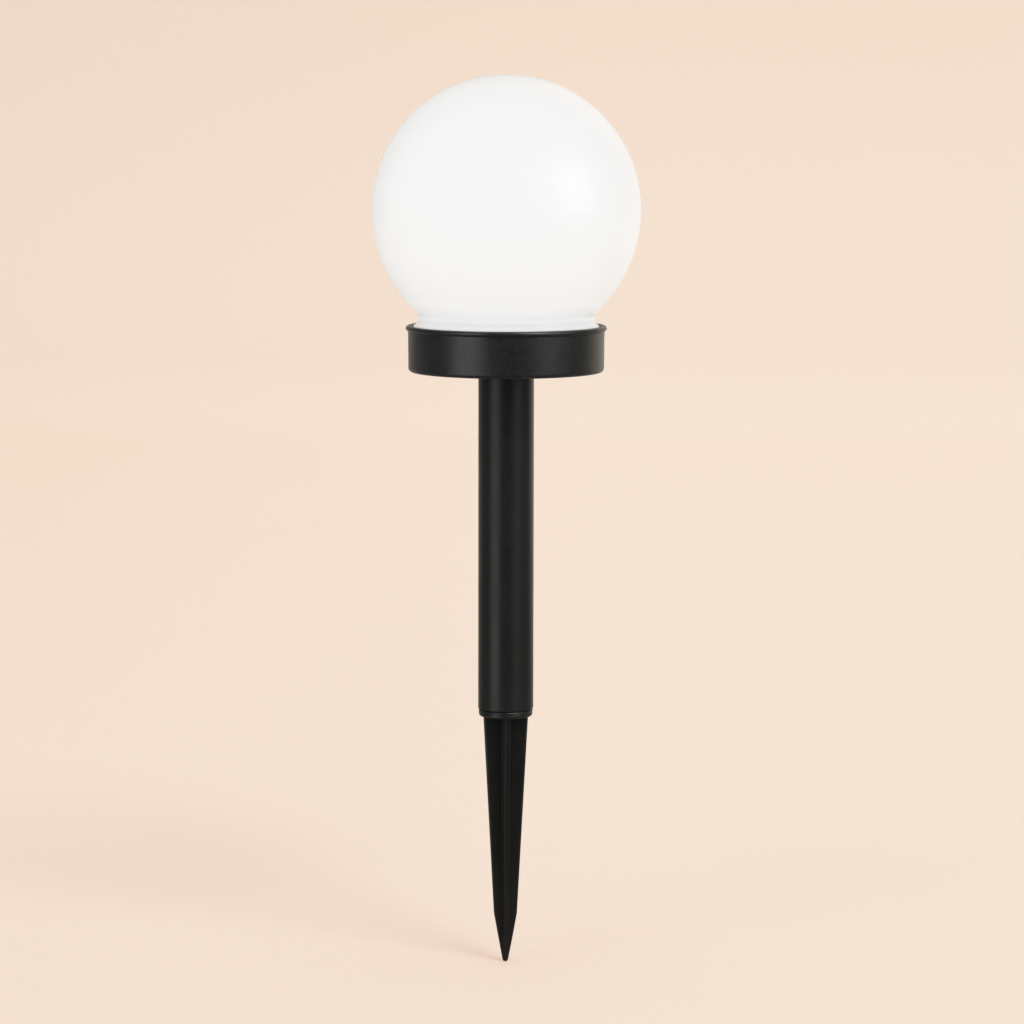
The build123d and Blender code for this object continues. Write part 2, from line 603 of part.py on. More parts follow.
def battery_frame():
    """The open frame that stands on the cup's floor round the cell, notched for the contact tabs."""
    notch_width, notch_bottom = 5.0, TAB_Z - 0.2
    frame = slab(bay_outline(FRAME_WALL) - bay_outline(0), FLOOR_TOP_Z, FRAME_TOP_Z)
    return frame - block(2 * BAY_HALF_LENGTH + 6, notch_width, notch_bottom, FRAME_TOP_Z, 0, CELL_Y)


def contact_sheet(side):
    """A bent contact strip: an upright face in the frame and a solder tab out through the notch."""
    face_width, tab_width, inner = 8.6, 4.0, BAY_HALF_LENGTH - CONTACT_SHEET
    face_x, tab_x = side * (inner + CONTACT_SHEET / 2), side * (inner + TAB_REACH / 2)
    face = block(CONTACT_SHEET, face_width, FLOOR_TOP_Z + 0.3, TAB_Z, face_x, CELL_Y)
    return face + block(TAB_REACH, tab_width, TAB_Z, TAB_Z + CONTACT_SHEET, tab_x, CELL_Y)


def negative_spring(sheet, cell_end):
    """The conical spring that presses on the cell's flat end, joined to its contact strip."""
    wire, turns, wide, narrow = 0.35, 4, 3.4, 2.4
    root_x = -(BAY_HALF_LENGTH - CONTACT_SHEET)
    length = cell_end - CONTACT_GAP - root_x
    rise = length - 2 * wire
    cone = math.degrees(math.atan((wide - narrow) / rise))
    path = Helix(pitch=rise / turns, height=rise, radius=wide, cone_angle=-cone)
    section = Plane(origin=path @ 0, z_dir=path % 0) * Circle(wire)
    coil = Pos(0, 0, wire) * sweep(section, path, is_frenet=True)
    print("spring", "turns", turns, "least gap between turns", round(rise / turns - 2 * wire, 2))
    # The last turn is ground flat and soldered down, so the coil stands on a ring a little wider than itself.
    half_width, height = 1.1 * wire, 1.2 * wire
    foot = rod(wide + half_width, 0, height) - rod(wide - half_width, 0, height)
    return sheet + Pos(root_x, CELL_Y, CELL_AXIS_Z) * Rot(0, 90, 0) * (foot + coil)


def battery_cover():
    """The flush cover under the battery, with countersunk holes for its two screws."""
    hole, sink, sink_depth = COVER_SCREW_RADIUS + 0.1, COVER_SCREW_HEAD_RADIUS + 0.1, 1.1
    cover = slab(cover_outline(COVER_CLEARANCE), CUP_UNDERSIDE_Z, COVER_INNER_Z)
    cover = chamfer(cover.edges().group_by(Axis.Z)[0], 0.25)
    for x, y in COVER_SCREWS:
        cover -= rod(hole, CUP_UNDERSIDE_Z, COVER_INNER_Z, x, y)
        cover -= taper(sink, hole, CUP_UNDERSIDE_Z, CUP_UNDERSIDE_Z + sink_depth, x, y)
    return cover


def cover_seal():
    """The thin gasket round the battery opening."""
    inner, outer = bay_outline(0.1), bay_outline(1.3)
    return slab(outer - inner, COVER_INNER_Z, COVER_INNER_Z + COVER_SEAL)


# ------------------------------------------------------------------ the pole and the spike
def finned_plug(root, end, core_radius):
    """Crossed fins round a core that fill the pole's bore, tapered a little towards the free end."""
    bottom, top = min(root, end), max(root, end)
    fins = block(2 * PLUG_RADIUS, PLUG_FIN, bottom, top) + block(PLUG_FIN, 2 * PLUG_RADIUS, bottom, top)
    start = end + math.copysign(PLUG_LEAD_IN, root - end)
    tip, around = PLUG_RADIUS - PLUG_LEAD_IN_DEPTH, PLUG_RADIUS + 1
    lead_in = turned_polygon([(tip, end), (around, end), (around, start), (PLUG_RADIUS, start)])
    return (fins & rod(PLUG_RADIUS, bottom, top)) - lead_in + rod(core_radius, bottom, top)


def pole_spigot():
    """The finned spigot that plugs the cup into the pole, located by a tenon in the cup's floor."""
    disc_bottom, core_radius = CUP_UNDERSIDE_Z - SPIGOT_DISC, 3.6
    spigot = finned_plug(disc_bottom, CUP_UNDERSIDE_Z - SPIGOT_LENGTH, core_radius)
    spigot += rod(PLUG_RADIUS, disc_bottom, CUP_UNDERSIDE_Z)
    spigot += rod(TENON_RADIUS - TENON_CLEARANCE, CUP_UNDERSIDE_Z, FLOOR_TOP_Z)
    boss_bottom = CUP_UNDERSIDE_Z - SPIGOT_SCREW_LENGTH
    for x, y in SPIGOT_SCREWS:
        spigot += rod(SPIGOT_BOSS_RADIUS, boss_bottom, disc_bottom, x, y)
        spigot -= rod(SPIGOT_SCREW_RADIUS + 0.05, boss_bottom + 1, CUP_UNDERSIDE_Z, x, y)
    return spigot


def pole_tube():
    """The plain round pole, its ends slightly rounded."""
    tube = rod(POLE_RADIUS, POLE_FOOT_Z, CUP_UNDERSIDE_Z) - rod(POLE_BORE, POLE_FOOT_Z, CUP_UNDERSIDE_Z)
    return fillet(tube.edges().group_by(Axis.Z)[0].sort_by(SortBy.RADIUS)[-1], 0.35)


def spike_fin():
    """One pair of fins below the soil line: a long taper, a shoulder and a point, with bevelled edges."""
    tip = SPIKE_TIP_RADIUS - SPIKE_LENGTH
    shoulder = (SPIKE_SHOULDER_HALF_WIDTH, SPIKE_SHOULDER_Z)
    right = [(SPIKE_TOP_HALF_WIDTH, 0), shoulder, (SPIKE_TIP_RADIUS, tip)]
    left = [(-x, z) for x, z in reversed(right)]
    fin = extrude(Plane.XZ * make_face(Polyline(*right, *left, close=True)), SPIKE_FIN / 2, both=True)
    for side in (Axis.Y, -Axis.Y):
        face = fin.faces().sort_by(side)[-1]
        long_edges = face.edges().filter_by(lambda e: tip + 0.1 < e.center().Z < -0.1)
        fin = chamfer(long_edges, FIN_BEVEL_WIDTH, FIN_BEVEL_DEPTH, reference=face)
    return fin


def ground_spike():
    """The moulded spike: a plug for the pole, a collar that stops at the soil, and four tapering fins."""
    foot, skirt, groove, band = COLLAR_FOOT_RADIUS, COLLAR_SKIRT_RADIUS, COLLAR_GROOVE_RADIUS, COLLAR_RADIUS
    skirt_bottom, band_bottom, band_top = COLLAR_SKIRT_BOTTOM_Z, COLLAR_BAND_BOTTOM_Z, COLLAR_TOP_Z
    groove_bottom, step_radius = band_bottom - 0.15, POLE_RADIUS - 0.8
    heel, plug_core = (foot + 0.8, 0.3), 2.6
    collar = turned([
        Line((0, 0), (foot, 0)),
        ThreePointArc((foot, 0), heel, (skirt, skirt_bottom)),
        Line((skirt, skirt_bottom), (skirt, groove_bottom)),
        Line((skirt, groove_bottom), (groove, band_bottom)),
        ThreePointArc((groove, band_bottom), (band, (band_bottom + band_top) / 2), (groove, band_top)),
        Line((groove, band_top), (step_radius, band_top)),
        Line((step_radius, band_top), (step_radius, POLE_FOOT_Z)),
        Line((step_radius, POLE_FOOT_Z), (0, POLE_FOOT_Z)),
        Line((0, POLE_FOOT_Z), (0, 0)),
    ])
    tip = SPIKE_TIP_RADIUS - SPIKE_LENGTH
    below = spike_fin() + Rot(0, 0, 90) * spike_fin() + rod(SPIKE_CORE_RADIUS, SPIKE_SHOULDER_Z, 0)
    below += taper(SPIKE_TIP_RADIUS, SPIKE_CORE_RADIUS, tip, SPIKE_SHOULDER_Z)
    # The fins' corners are trimmed round towards the point.
    trim = SPIKE_SHOULDER_HALF_WIDTH + 0.4
    below &= taper(SPIKE_TIP_RADIUS, trim, tip, SPIKE_SHOULDER_Z) + rod(band, SPIKE_SHOULDER_Z, 0)
    plug = finned_plug(POLE_FOOT_Z, POLE_FOOT_Z + SPIKE_PLUG_LENGTH, plug_core)
    spike = collar + plug + below + Pos(0, 0, tip) * Sphere(SPIKE_TIP_RADIUS)
    return Rot(0, 0, SPIKE_TURN_DEG) * spike


# ------------------------------------------------------------------ the leads inside the cup
def leads():
    """Each internal lead by name, from its solder point to the board."""
    tab_x = BAY_HALF_LENGTH - CONTACT_SHEET + TAB_REACH
    tab_z = TAB_Z + CONTACT_SHEET / 2
    routes = {
        "battery_lead_red": [
            (tab_x, CELL_Y, tab_z), (33.5, CELL_Y, tab_z), (36.5, 14.0, tab_z), (34.0, 2.0, tab_z),
            (25.0, -7.0, tab_z), (13.0, -10.5, tab_z), (13.0, -10.5, BOARD_TOP_Z),
        ],
        "battery_lead_black": [
            (-tab_x, CELL_Y, tab_z), (-33.5, CELL_Y, tab_z), (-36.5, 14.0, tab_z), (-34.5, 3.0, tab_z),
            (-26.0, -5.0, tab_z), (-14.8, -8.5, tab_z), (-14.8, -8.5, BOARD_TOP_Z),
        ],
    }
    led_lead_y, led_solder_z = -6.5, DECK_UNDERSIDE_Z - BOARD_THICKNESS
    terminal_z, crossing_z = SWITCH_FOOT_Z + SWITCH_CASE_HEIGHT + 1.2, 165.8
    for side, colour, way in ((1, "red", "in"), (-1, "black", "out")):
        hole_x, foot_x = side * SOLAR_WIRE_X, 4.6 * side
        routes[f"solar_lead_{colour}"] = [
            (hole_x, SOLAR_WIRE_Y, DECK_TOP_Z), (hole_x, SOLAR_WIRE_Y, 166.5),
            (foot_x, SOLAR_WIRE_Y, 164.4), (foot_x, SOLAR_WIRE_Y, BOARD_TOP_Z),
        ]
        pad_x, foot_x = 3.0 * side, 4.2 * side
        routes[f"led_lead_{colour}"] = [
            (pad_x, led_lead_y, led_solder_z), (pad_x, led_lead_y, 165.4),
            (foot_x, led_lead_y, 164.2), (foot_x, led_lead_y, BOARD_TOP_Z),
        ]
        terminal_x, foot_x = side * TERMINAL_PITCH, 9.0 * side
        routes[f"switch_lead_{way}"] = [
            (terminal_x, SWITCH_Y + 0.6, terminal_z), (terminal_x, -26.5, terminal_z),
            (5.5 * side, -22.5, crossing_z), (foot_x, -19.0, crossing_z), (foot_x, -19.0, BOARD_TOP_Z),
        ]
    return {name: wire_along(points) for name, points in routes.items()}


# ------------------------------------------------------------------ build every node
def build():
    cells, ribbons = solar_cells(), cell_ribbons()
    can = battery_can()
    cell_end = can.bounding_box().min.X
    nodes = {
        "globe_diffuser": globe_diffuser(),
        "neck_seal": neck_seal(),
        "lamp_cup": lamp_cup(),
        "solar_deck": solar_deck(),
        "deck_screws": at_each(
            DECK_SCREWS, countersunk_screw(DECK_SCREW_HEAD_RADIUS, DECK_SCREW_RADIUS, CUP_UNDERSIDE_Z, 11.0)
        ),
        "solar_backing_board": panel_ring(DECK_TOP_Z, DECK_TOP_Z + PANEL_BOARD),
        "solar_cells": cells,
        "cell_ribbons": ribbons,
        "solar_glazing": solar_glazing(cells, ribbons),
        "led_bulb": led_bulb(),
        "led_legs": led_legs(),
        "led_board": led_board(),
        "led_reflector": led_reflector(),
        "circuit_board": circuit_board(),
        "driver_chip": driver_chip(),
        "boost_inductor": boost_inductor(),
        "storage_capacitor": storage_capacitor(),
        "board_screws": at_each(BOARD_POSTS, pan_screw(1.8, SMALL_SCREW_RADIUS, BOARD_TOP_Z, 3.6)),
        "switch_body": switch_body(),
        "switch_knob": switch_knob(),
        "switch_screws": at_each(
            SWITCH_SCREWS, pan_screw(1.6, SMALL_SCREW_RADIUS, SWITCH_FOOT_Z + SWITCH_FLANGE, 2.6)
        ),
        "battery_can": can,
        "battery_sleeve": battery_sleeve(can),
        "battery_frame": battery_frame(),
        "positive_contact": contact_sheet(1),
        "negative_spring": negative_spring(contact_sheet(-1), cell_end),
        "battery_cover": battery_cover(),
        "cover_seal": cover_seal(),
        "cover_screws": at_each(
            COVER_SCREWS,
            countersunk_screw(COVER_SCREW_HEAD_RADIUS, COVER_SCREW_RADIUS, CUP_UNDERSIDE_Z, 7.2),
        ),
        "pole_spigot": pole_spigot(),
        "spigot_screws": at_each(
            SPIGOT_SCREWS, pan_screw(2.2, SPIGOT_SCREW_RADIUS, FLOOR_TOP_Z, SPIGOT_SCREW_LENGTH)
        ),
        "pole_tube": pole_tube(),
        "ground_spike": ground_spike(),
    }
    nodes.update(leads())
    return nodes


os.makedirs("parts", exist_ok=True)
for name, shape in build().items():
    export_step(shape, f"parts/{name}.step")
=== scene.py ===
import bpy
import bmesh
import json
import math
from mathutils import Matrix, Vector

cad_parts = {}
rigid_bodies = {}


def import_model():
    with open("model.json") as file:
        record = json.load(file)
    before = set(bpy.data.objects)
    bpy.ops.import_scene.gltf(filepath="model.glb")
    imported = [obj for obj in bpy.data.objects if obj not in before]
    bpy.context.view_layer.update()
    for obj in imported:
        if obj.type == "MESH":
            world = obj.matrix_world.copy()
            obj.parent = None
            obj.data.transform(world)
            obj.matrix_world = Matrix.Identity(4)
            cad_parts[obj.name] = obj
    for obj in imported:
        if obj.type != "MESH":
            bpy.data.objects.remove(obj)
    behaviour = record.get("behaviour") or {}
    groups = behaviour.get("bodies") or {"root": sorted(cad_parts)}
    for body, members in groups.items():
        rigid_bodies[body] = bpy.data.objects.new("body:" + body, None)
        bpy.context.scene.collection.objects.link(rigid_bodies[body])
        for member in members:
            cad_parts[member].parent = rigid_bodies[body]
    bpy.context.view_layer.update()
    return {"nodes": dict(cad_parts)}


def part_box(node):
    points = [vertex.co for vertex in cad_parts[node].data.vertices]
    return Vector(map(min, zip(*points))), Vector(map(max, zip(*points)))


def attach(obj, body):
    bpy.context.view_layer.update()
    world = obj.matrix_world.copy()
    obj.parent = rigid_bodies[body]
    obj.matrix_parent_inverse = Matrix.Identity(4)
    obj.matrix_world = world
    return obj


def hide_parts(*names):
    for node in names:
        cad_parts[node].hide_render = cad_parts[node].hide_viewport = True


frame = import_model()


# ---------------------------------------------------------------- the ground spike
# One black polypropylene moulding: a plug for the pole, a collar that stops at the soil and four
# tapering fins round a core. The mould was sparked all over, so the black is satin with a fine grain.
class Finish:
    """The recipe of one surface: its material, its shader, and short ways to add and join nodes."""

    def __init__(self, name):
        self.material = bpy.data.materials.new(name)
        self.material.use_nodes = True
        self.tree = self.material.node_tree
        self.shader = self.tree.nodes["Principled BSDF"]
        self.place = self.add("TexCoord").outputs["Object"]

    def feed(self, socket, value):
        """Joins a socket to another node's output, or sets its own number or colour."""
        if isinstance(value, bpy.types.NodeSocket):
            self.tree.links.new(value, socket)
        elif isinstance(value, tuple) and len(value) == 3 and socket.type == "RGBA":
            socket.default_value = (*value, 1)
        else:
            socket.default_value = value

    def add(self, kind, settings=None, **inputs):
        """A new shader node with its settings and inputs; _ in a key stands for a space."""
        node = self.tree.nodes.new("ShaderNode" + kind)
        for key, value in (settings or {}).items():
            setattr(node, key, value)
        for key, value in inputs.items():
            self.feed(node.inputs[key.replace("_", " ")], value)
        return node

    def surface(self, **inputs):
        """Sets inputs of the finish's own shader."""
        for key, value in inputs.items():
            self.feed(self.shader.inputs[key.replace("_", " ")], value)

    def noise(self, size, detail=2.0, stretch=(1, 1, 1)):
        """Soft random values; size is the width of a patch in metres."""
        scaled = self.add("Mapping", Vector=self.place, Scale=stretch).outputs["Vector"]
        return self.add("TexNoise", Vector=scaled, Scale=1 / size, Detail=detail).outputs["Fac"]

    def crystals(self, size, output="Distance"):
        """Random cells; size is the width of a cell in metres."""
        return self.add("TexVoronoi", Vector=self.place, Scale=1 / size).outputs[output]

    def spread(self, value, low, high, start=0.3, end=0.7):
        """The value from start to end, brought to the range low to high."""
        node = self.add("MapRange", Value=value, From_Min=start, From_Max=end)
        self.feed(node.inputs["To Min"], low)
        self.feed(node.inputs["To Max"], high)
        return node.outputs["Result"]

    def combined(self, first, second, operation="ADD"):
        """Two numbers, joined by a Math node's operation."""
        node = self.add("Math", {"operation": operation})
        self.feed(node.inputs[0], first)
        self.feed(node.inputs[1], second)
        return node.outputs["Value"]

    def mixed(self, factor, first, second, mode="MIX"):
        """Two colours, mixed by a factor; a Mix node's colour sockets are inputs 6 and 7 and output 2."""
        node = self.add("Mix", {"data_type": "RGBA", "blend_type": mode})
        self.feed(node.inputs["Factor"], factor)
        self.feed(node.inputs[6], first)
        self.feed(node.inputs[7], second)
        return node.outputs[2]

    def axis(self, letter):
        """The place along one axis of the lamp, in metres."""
        return self.add("SeparateXYZ", Vector=self.place).outputs[letter]

    def relief(self, height, depth, strength=0.5, rounding=0.0):
        """Bumps of a depth in metres; rounding catches light along sharp edges."""
        normal = self.add("Bump", Strength=strength, Distance=depth, Height=height).outputs["Normal"]
        if rounding:
            normal = self.add("Bevel", {"samples": 4}, Radius=rounding, Normal=normal).outputs["Normal"]
        self.surface(Normal=normal)


def moulded_plastic(name, colour, roughness, grain, depth, mottle=0.2, rounding=0.0003):
    """Injection-moulded plastic: a sparked grain, and broad flow patches in its sheen and colour."""
    flow_size, patch_size, pit_size, speck_size = 0.026, 0.05, 2.2 * grain, 3.3 * grain
    finish = Finish(name)
    pits = finish.combined(finish.crystals(pit_size), 0.5, "MULTIPLY")
    finish.relief(finish.combined(finish.noise(grain, 3.0), pits), depth, 0.5, rounding)
    flow = finish.noise(flow_size)
    finish.surface(Roughness=finish.spread(flow, roughness - 0.04, roughness + 0.05))
    speck = finish.spread(finish.noise(speck_size, 4.0), 1 - mottle, 1 + mottle)
    patch = finish.spread(finish.noise(patch_size), 0.97, 1.03)
    shade = finish.combined(speck, patch, "MULTIPLY")
    finish.surface(Base_Color=finish.mixed(1.0, colour, shade, "MULTIPLY"))
    finish.surface(IOR=1.49)
    return finish


def dress(finish, *nodes):
    """Gives a finish to nodes of the frame."""
    for node in nodes:
        for slot in frame["nodes"][node].material_slots:
            slot.material = finish.material


spike_tone = (0.0048, 0.0047, 0.0036)
spike_black = moulded_plastic("spike_black", spike_tone, 0.32, 0.00035, 0.00003, rounding=0.0007)
dress(spike_black, "ground_spike")


# ---------------------------------------------------------------- the pole
# A length of 25 mm black tube, drawn from ABS with a satin skin. It pushes onto the spike's plug, and
# the die has left very faint lines along it.
pole_tone = (0.0085, 0.0084, 0.0078)
pole_black = moulded_plastic("pole_black", pole_tone, 0.33, 0.0004, 0.00002, rounding=0.0)
die_lines = pole_black.noise(0.0011, 2.0, (1, 1, 0.004))
pole_black.relief(pole_black.combined(die_lines, pole_black.noise(0.0004, 3.0)), 0.00002, 0.35)
pole_black.surface(Specular_IOR_Level=0.3)
dress(pole_black, "pole_tube")


# ---------------------------------------------------------------- the spigot
# A black ABS moulding with crossed fins that plugs into the pole. Three zinc-plated screws pull it up
# against the cup's floor, and a short tenon centres it.
inner_black = moulded_plastic("inner_black", (0.011, 0.011, 0.0105), 0.46, 0.0005, 0.00006)
dress(inner_black, "pole_spigot")


def plated_metal(name, colour, roughness, grain=0.0006, stretch=(1, 1, 1), stain=0.12):
    """Plated or tinned metal: a fine rolled or turned grain, dull patches and a slight stain."""
    finish = Finish(name)
    dull_size = 0.004
    lines = finish.noise(grain, 3.0, stretch)
    dull = finish.noise(dull_size, 3.0)
    finish.relief(lines, 0.00001, 0.4, 0.00012)
    shine = finish.spread(dull, roughness - 0.06, roughness + 0.1)
    shine = finish.combined(finish.spread(lines, -0.04, 0.05), shine)
    finish.surface(Roughness=shine, Metallic=1.0)
    shade = finish.spread(dull, 1 - stain, 1.0)
    finish.surface(Base_Color=finish.mixed(1.0, colour, shade, "MULTIPLY"))
    return finish


screw_zinc = plated_metal("screw_zinc", (0.62, 0.61, 0.58), 0.3, 0.0003)
dress(screw_zinc, "spigot_screws")


# ---------------------------------------------------------------- the cup
# A shallow black ABS cup with a rolled rim. Its bosses, its switch well and its battery opening are
# moulded in, and its outside has the same satin grain as the pole.
cup_black = moulded_plastic("cup_black", (0.0078, 0.0077, 0.0073), 0.32, 0.0006, 0.00005, 0.4)
dress(cup_black, "lamp_cup")


# ---------------------------------------------------------------- the slide switch
# A tinned steel case screwed under the cup's floor pillars, and a ribbed thumb piece of grey nylon
# that slides in the well.
switch_tin = plated_metal("switch_tin", (0.56, 0.56, 0.54), 0.34, 0.0005, (1, 6, 1))
dress(switch_tin, "switch_body")
dress(screw_zinc, "switch_screws")
knob_nylon = moulded_plastic("knob_nylon", (0.016, 0.016, 0.0155), 0.5, 0.0003, 0.00004)
dress(knob_nylon, "switch_knob")


# ---------------------------------------------------------------- the driver board
# A glass-fibre board under green lacquer, on two screwed posts. It carries the chip, a drum inductor
# with its copper winding, a can capacitor and four small resistors; each lead ends in a solder cone.
board_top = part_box("circuit_board")[1].z
leg_height, leg_edge = 0.0007, 0.00008


def board_lacquer(name, lacquer, track):
    """Lacquered board: tracks with square and slanting bends show through it, and the weave's relief."""
    tracks_per_metre = 230.0
    finish = Finish(name)
    nearest, second = (
        finish.add(
            "TexVoronoi", {"distance": "MANHATTAN", "feature": rank},
            Vector=finish.place, Scale=tracks_per_metre,
        ).outputs["Distance"]
        for rank in ("F1", "F2")
    )
    apart = finish.combined(second, nearest, "SUBTRACT")
    tracks = finish.spread(apart, 1.0, 0.0, 0.13, 0.17)
    weave = finish.noise(0.0005, 1.0, (1, 0.3, 1))
    tone = finish.mixed(tracks, lacquer, track)
    cloudy = finish.spread(finish.noise(0.004), 0.88, 1.08)
    finish.surface(Base_Color=finish.mixed(1.0, tone, cloudy, "MULTIPLY"))
    finish.surface(Roughness=finish.spread(weave, 0.24, 0.36))
    finish.relief(finish.combined(tracks, finish.combined(weave, 0.3, "MULTIPLY")), 0.00003, 0.6)
    return finish


dress(board_lacquer("board_green", (0.012, 0.075, 0.03), (0.03, 0.16, 0.06)), "circuit_board")
dress(screw_zinc, "board_screws")

chip_epoxy = moulded_plastic("chip_epoxy", (0.014, 0.014, 0.015), 0.5, 0.00012, 0.00001, rounding=0.0001)
above_legs = chip_epoxy.spread(
    chip_epoxy.axis("Z"), 0.0, 1.0, board_top + leg_height, board_top + leg_height + leg_edge
)
chip_body = chip_epoxy.shader.inputs["Base Color"].links[0].from_socket
chip_epoxy.surface(Base_Color=chip_epoxy.mixed(above_legs, (0.6, 0.59, 0.56), chip_body))
chip_epoxy.surface(Metallic=chip_epoxy.combined(1.0, above_legs, "SUBTRACT"))
dress(chip_epoxy, "driver_chip")

ferrite = moulded_plastic("ferrite", (0.035, 0.034, 0.034), 0.62, 0.00025, 0.00005, 0.35, 0.00015)
dress(ferrite, "boost_inductor")

can_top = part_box("storage_capacitor")[1].z
sleeve_gap, sleeve_edge = 0.0003, 0.00005
capacitor_can = plated_metal("capacitor_can", (0.72, 0.72, 0.71), 0.28, 0.0004)
in_sleeve = capacitor_can.spread(
    capacitor_can.axis("Z"), 1.0, 0.0, can_top - sleeve_gap - sleeve_edge, can_top - sleeve_gap
)
bare_can = capacitor_can.shader.inputs["Base Color"].links[0].from_socket
capacitor_can.surface(Base_Color=capacitor_can.mixed(in_sleeve, bare_can, (0.02, 0.022, 0.03)))
capacitor_can.surface(Metallic=capacitor_can.combined(1.0, in_sleeve, "SUBTRACT"))
dress(capacitor_can, "storage_capacitor")


def add_piece(name, mesh, finish, body="head"):
    """Puts a mesh or curve in the scene with its finish, and lets it ride on a body."""
    piece = bpy.data.objects.new(name, mesh)
    bpy.context.scene.collection.objects.link(piece)
    mesh.materials.append(finish.material)
    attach(piece, body)
    return piece


def turned_mesh(name, outline, centres, steps=24):
    """The same turned shape at several places; the outline is pairs of radius and height."""
    same_place = 0.0000001
    around = [2 * math.pi * k / steps for k in range(steps)]
    made = bmesh.new()
    for centre in centres:
        rings = []
        for radius, height in outline:
            spokes = [(radius * math.cos(a), radius * math.sin(a), height) for a in around]
            if radius == 0:
                spokes = [(0, 0, height)]
            rings.append([made.verts.new(Vector(centre) + Vector(spoke)) for spoke in spokes])
        for low, high in zip(rings, rings[1:]):
            for k in range(steps):
                corners = [low[k % len(low)], low[(k + 1) % len(low)]]
                corners += [high[(k + 1) % len(high)], high[k % len(high)]]
                made.faces.new(list(dict.fromkeys(corners)))
    bmesh.ops.remove_doubles(made, verts=made.verts, dist=same_place)
    bmesh.ops.recalc_face_normals(made, faces=made.faces)
    mesh = bpy.data.meshes.new(name)
    made.to_mesh(mesh)
    made.free()
    for face in mesh.polygons:
        face.use_smooth = True
    return mesh


solder = plated_metal("solder", (0.66, 0.66, 0.64), 0.22, 0.0004)
solder_cone = [
    (0.00125, 0.00002), (0.00105, 0.0002), (0.00082, 0.00055), (0.0007, 0.0011), (0.00055, 0.0013),
]
lead_feet = [
    (0.013, -0.0105), (-0.0148, -0.0085), (0.0046, -0.011), (-0.0046, -0.011),
    (0.0042, -0.0065), (-0.0042, -0.0065), (0.009, -0.019), (-0.009, -0.019),
]
cones = turned_mesh("solder_cones", solder_cone, [(x, y, board_top) for x, y in lead_feet])
add_piece("solder_cones", cones, solder)

drum_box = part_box("boost_inductor")
drum_centre = (drum_box[0] + drum_box[1]) / 2


def copper_winding():
    """Enamelled wire wound in two layers between the drum's flanges."""
    wire, turns, points, flange = 0.0001, 9, 16, 0.0011
    layer_radii = (0.0018, 0.00198)
    low, high = drum_box[0].z + flange, drum_box[1].z - flange
    path = []
    for layer, radius in enumerate(layer_radii):
        for k in range(turns * points):
            share = k / (turns * points - 1)
            height = low + (high - low) * (share if layer == 0 else 1 - share)
            angle = 2 * math.pi * (k / points + layer * turns)
            x, y = drum_centre.x + radius * math.cos(angle), drum_centre.y + radius * math.sin(angle)
            path.append((x, y, height))
    curve = bpy.data.curves.new("inductor_winding", "CURVE")
    curve.dimensions = "3D"
    curve.bevel_depth = wire
    curve.bevel_resolution = 2
    strand = curve.splines.new("NURBS")
    strand.points.add(len(path) - 1)
    for point, place in zip(strand.points, path):
        point.co = (*place, 1)
    strand.order_u = 3
    strand.use_endpoint_u = True
    return curve


enamel_copper = plated_metal("enamel_copper", (0.72, 0.3, 0.13), 0.26, 0.0003)
enamel_copper.surface(Coat_Weight=0.6)
add_piece("inductor_winding", copper_winding(), enamel_copper)


def chip_resistors():
    """Small ceramic blocks, eased along their edges."""
    half = Vector((0.0010, 0.0006, 0.00028))
    solder_film, eased = 0.00002, 0.00008
    along_x, along_y = ((0.0093, -0.0145), (0.0093, -0.0126)), ((0.0, -0.013), (0.0, -0.0086))
    made = bmesh.new()
    for x, y in along_x + along_y:
        start = len(made.verts)
        bmesh.ops.create_cube(made, size=2.0)
        made.verts.ensure_lookup_table()
        for corner in made.verts[start:]:
            offset = corner.co * half
            if (x, y) in along_y:
                offset = Vector((-offset.y, offset.x, offset.z))
            corner.co = offset + Vector((x, y, board_top + half.z + solder_film))
    bmesh.ops.bevel(made, geom=made.edges[:], offset=eased, segments=2, affect="EDGES")
    mesh = bpy.data.meshes.new("chip_resistors")
    made.to_mesh(mesh)
    made.free()
    return mesh


resistor_ceramic = moulded_plastic("resistor_ceramic", (0.03, 0.03, 0.034), 0.35, 0.0002, 0.00001, 0.3)
add_piece("chip_resistors", chip_resistors(), resistor_ceramic)


# ---------------------------------------------------------------- the leads
# Stranded copper in soft PVC, red for the positive side and black for the negative, soldered at both
# ends. The sleeve has a slight sheen and picks up handling marks.
def soft_pvc(name, colour):
    """Extruded PVC: nearly smooth, with faint draw marks and dull patches."""
    finish = Finish(name)
    marks = finish.noise(0.0009, 3.0)
    finish.relief(marks, 0.00002, 0.4)
    finish.surface(Roughness=finish.spread(finish.noise(0.003), 0.32, 0.46))
    finish.surface(Base_Color=finish.mixed(1.0, colour, finish.spread(marks, 0.85, 1.1), "MULTIPLY"))
    return finish


lead_red = soft_pvc("lead_red", (0.42, 0.016, 0.012))
lead_black = soft_pvc("lead_black", (0.013, 0.013, 0.014))
dress(lead_red, "battery_lead_red", "solar_lead_red", "led_lead_red", "switch_lead_in")
dress(lead_black, "battery_lead_black", "solar_lead_black", "led_lead_black", "switch_lead_out")


# ---------------------------------------------------------------- the battery and its contacts
# A rechargeable AAA cell: a nickel-plated can in a shrunk film sleeve, plain green with a bare band at
# the positive end. Nickel-plated strips and a coil spring press on its ends inside a black frame.
dress(inner_black, "battery_frame")
contact_nickel = plated_metal("contact_nickel", (0.68, 0.65, 0.58), 0.26, 0.0005, (1, 5, 1))
dress(contact_nickel, "positive_contact", "negative_spring")
dress(plated_metal("can_nickel", (0.7, 0.69, 0.66), 0.22, 0.0006, (0.1, 1, 1)), "battery_can")

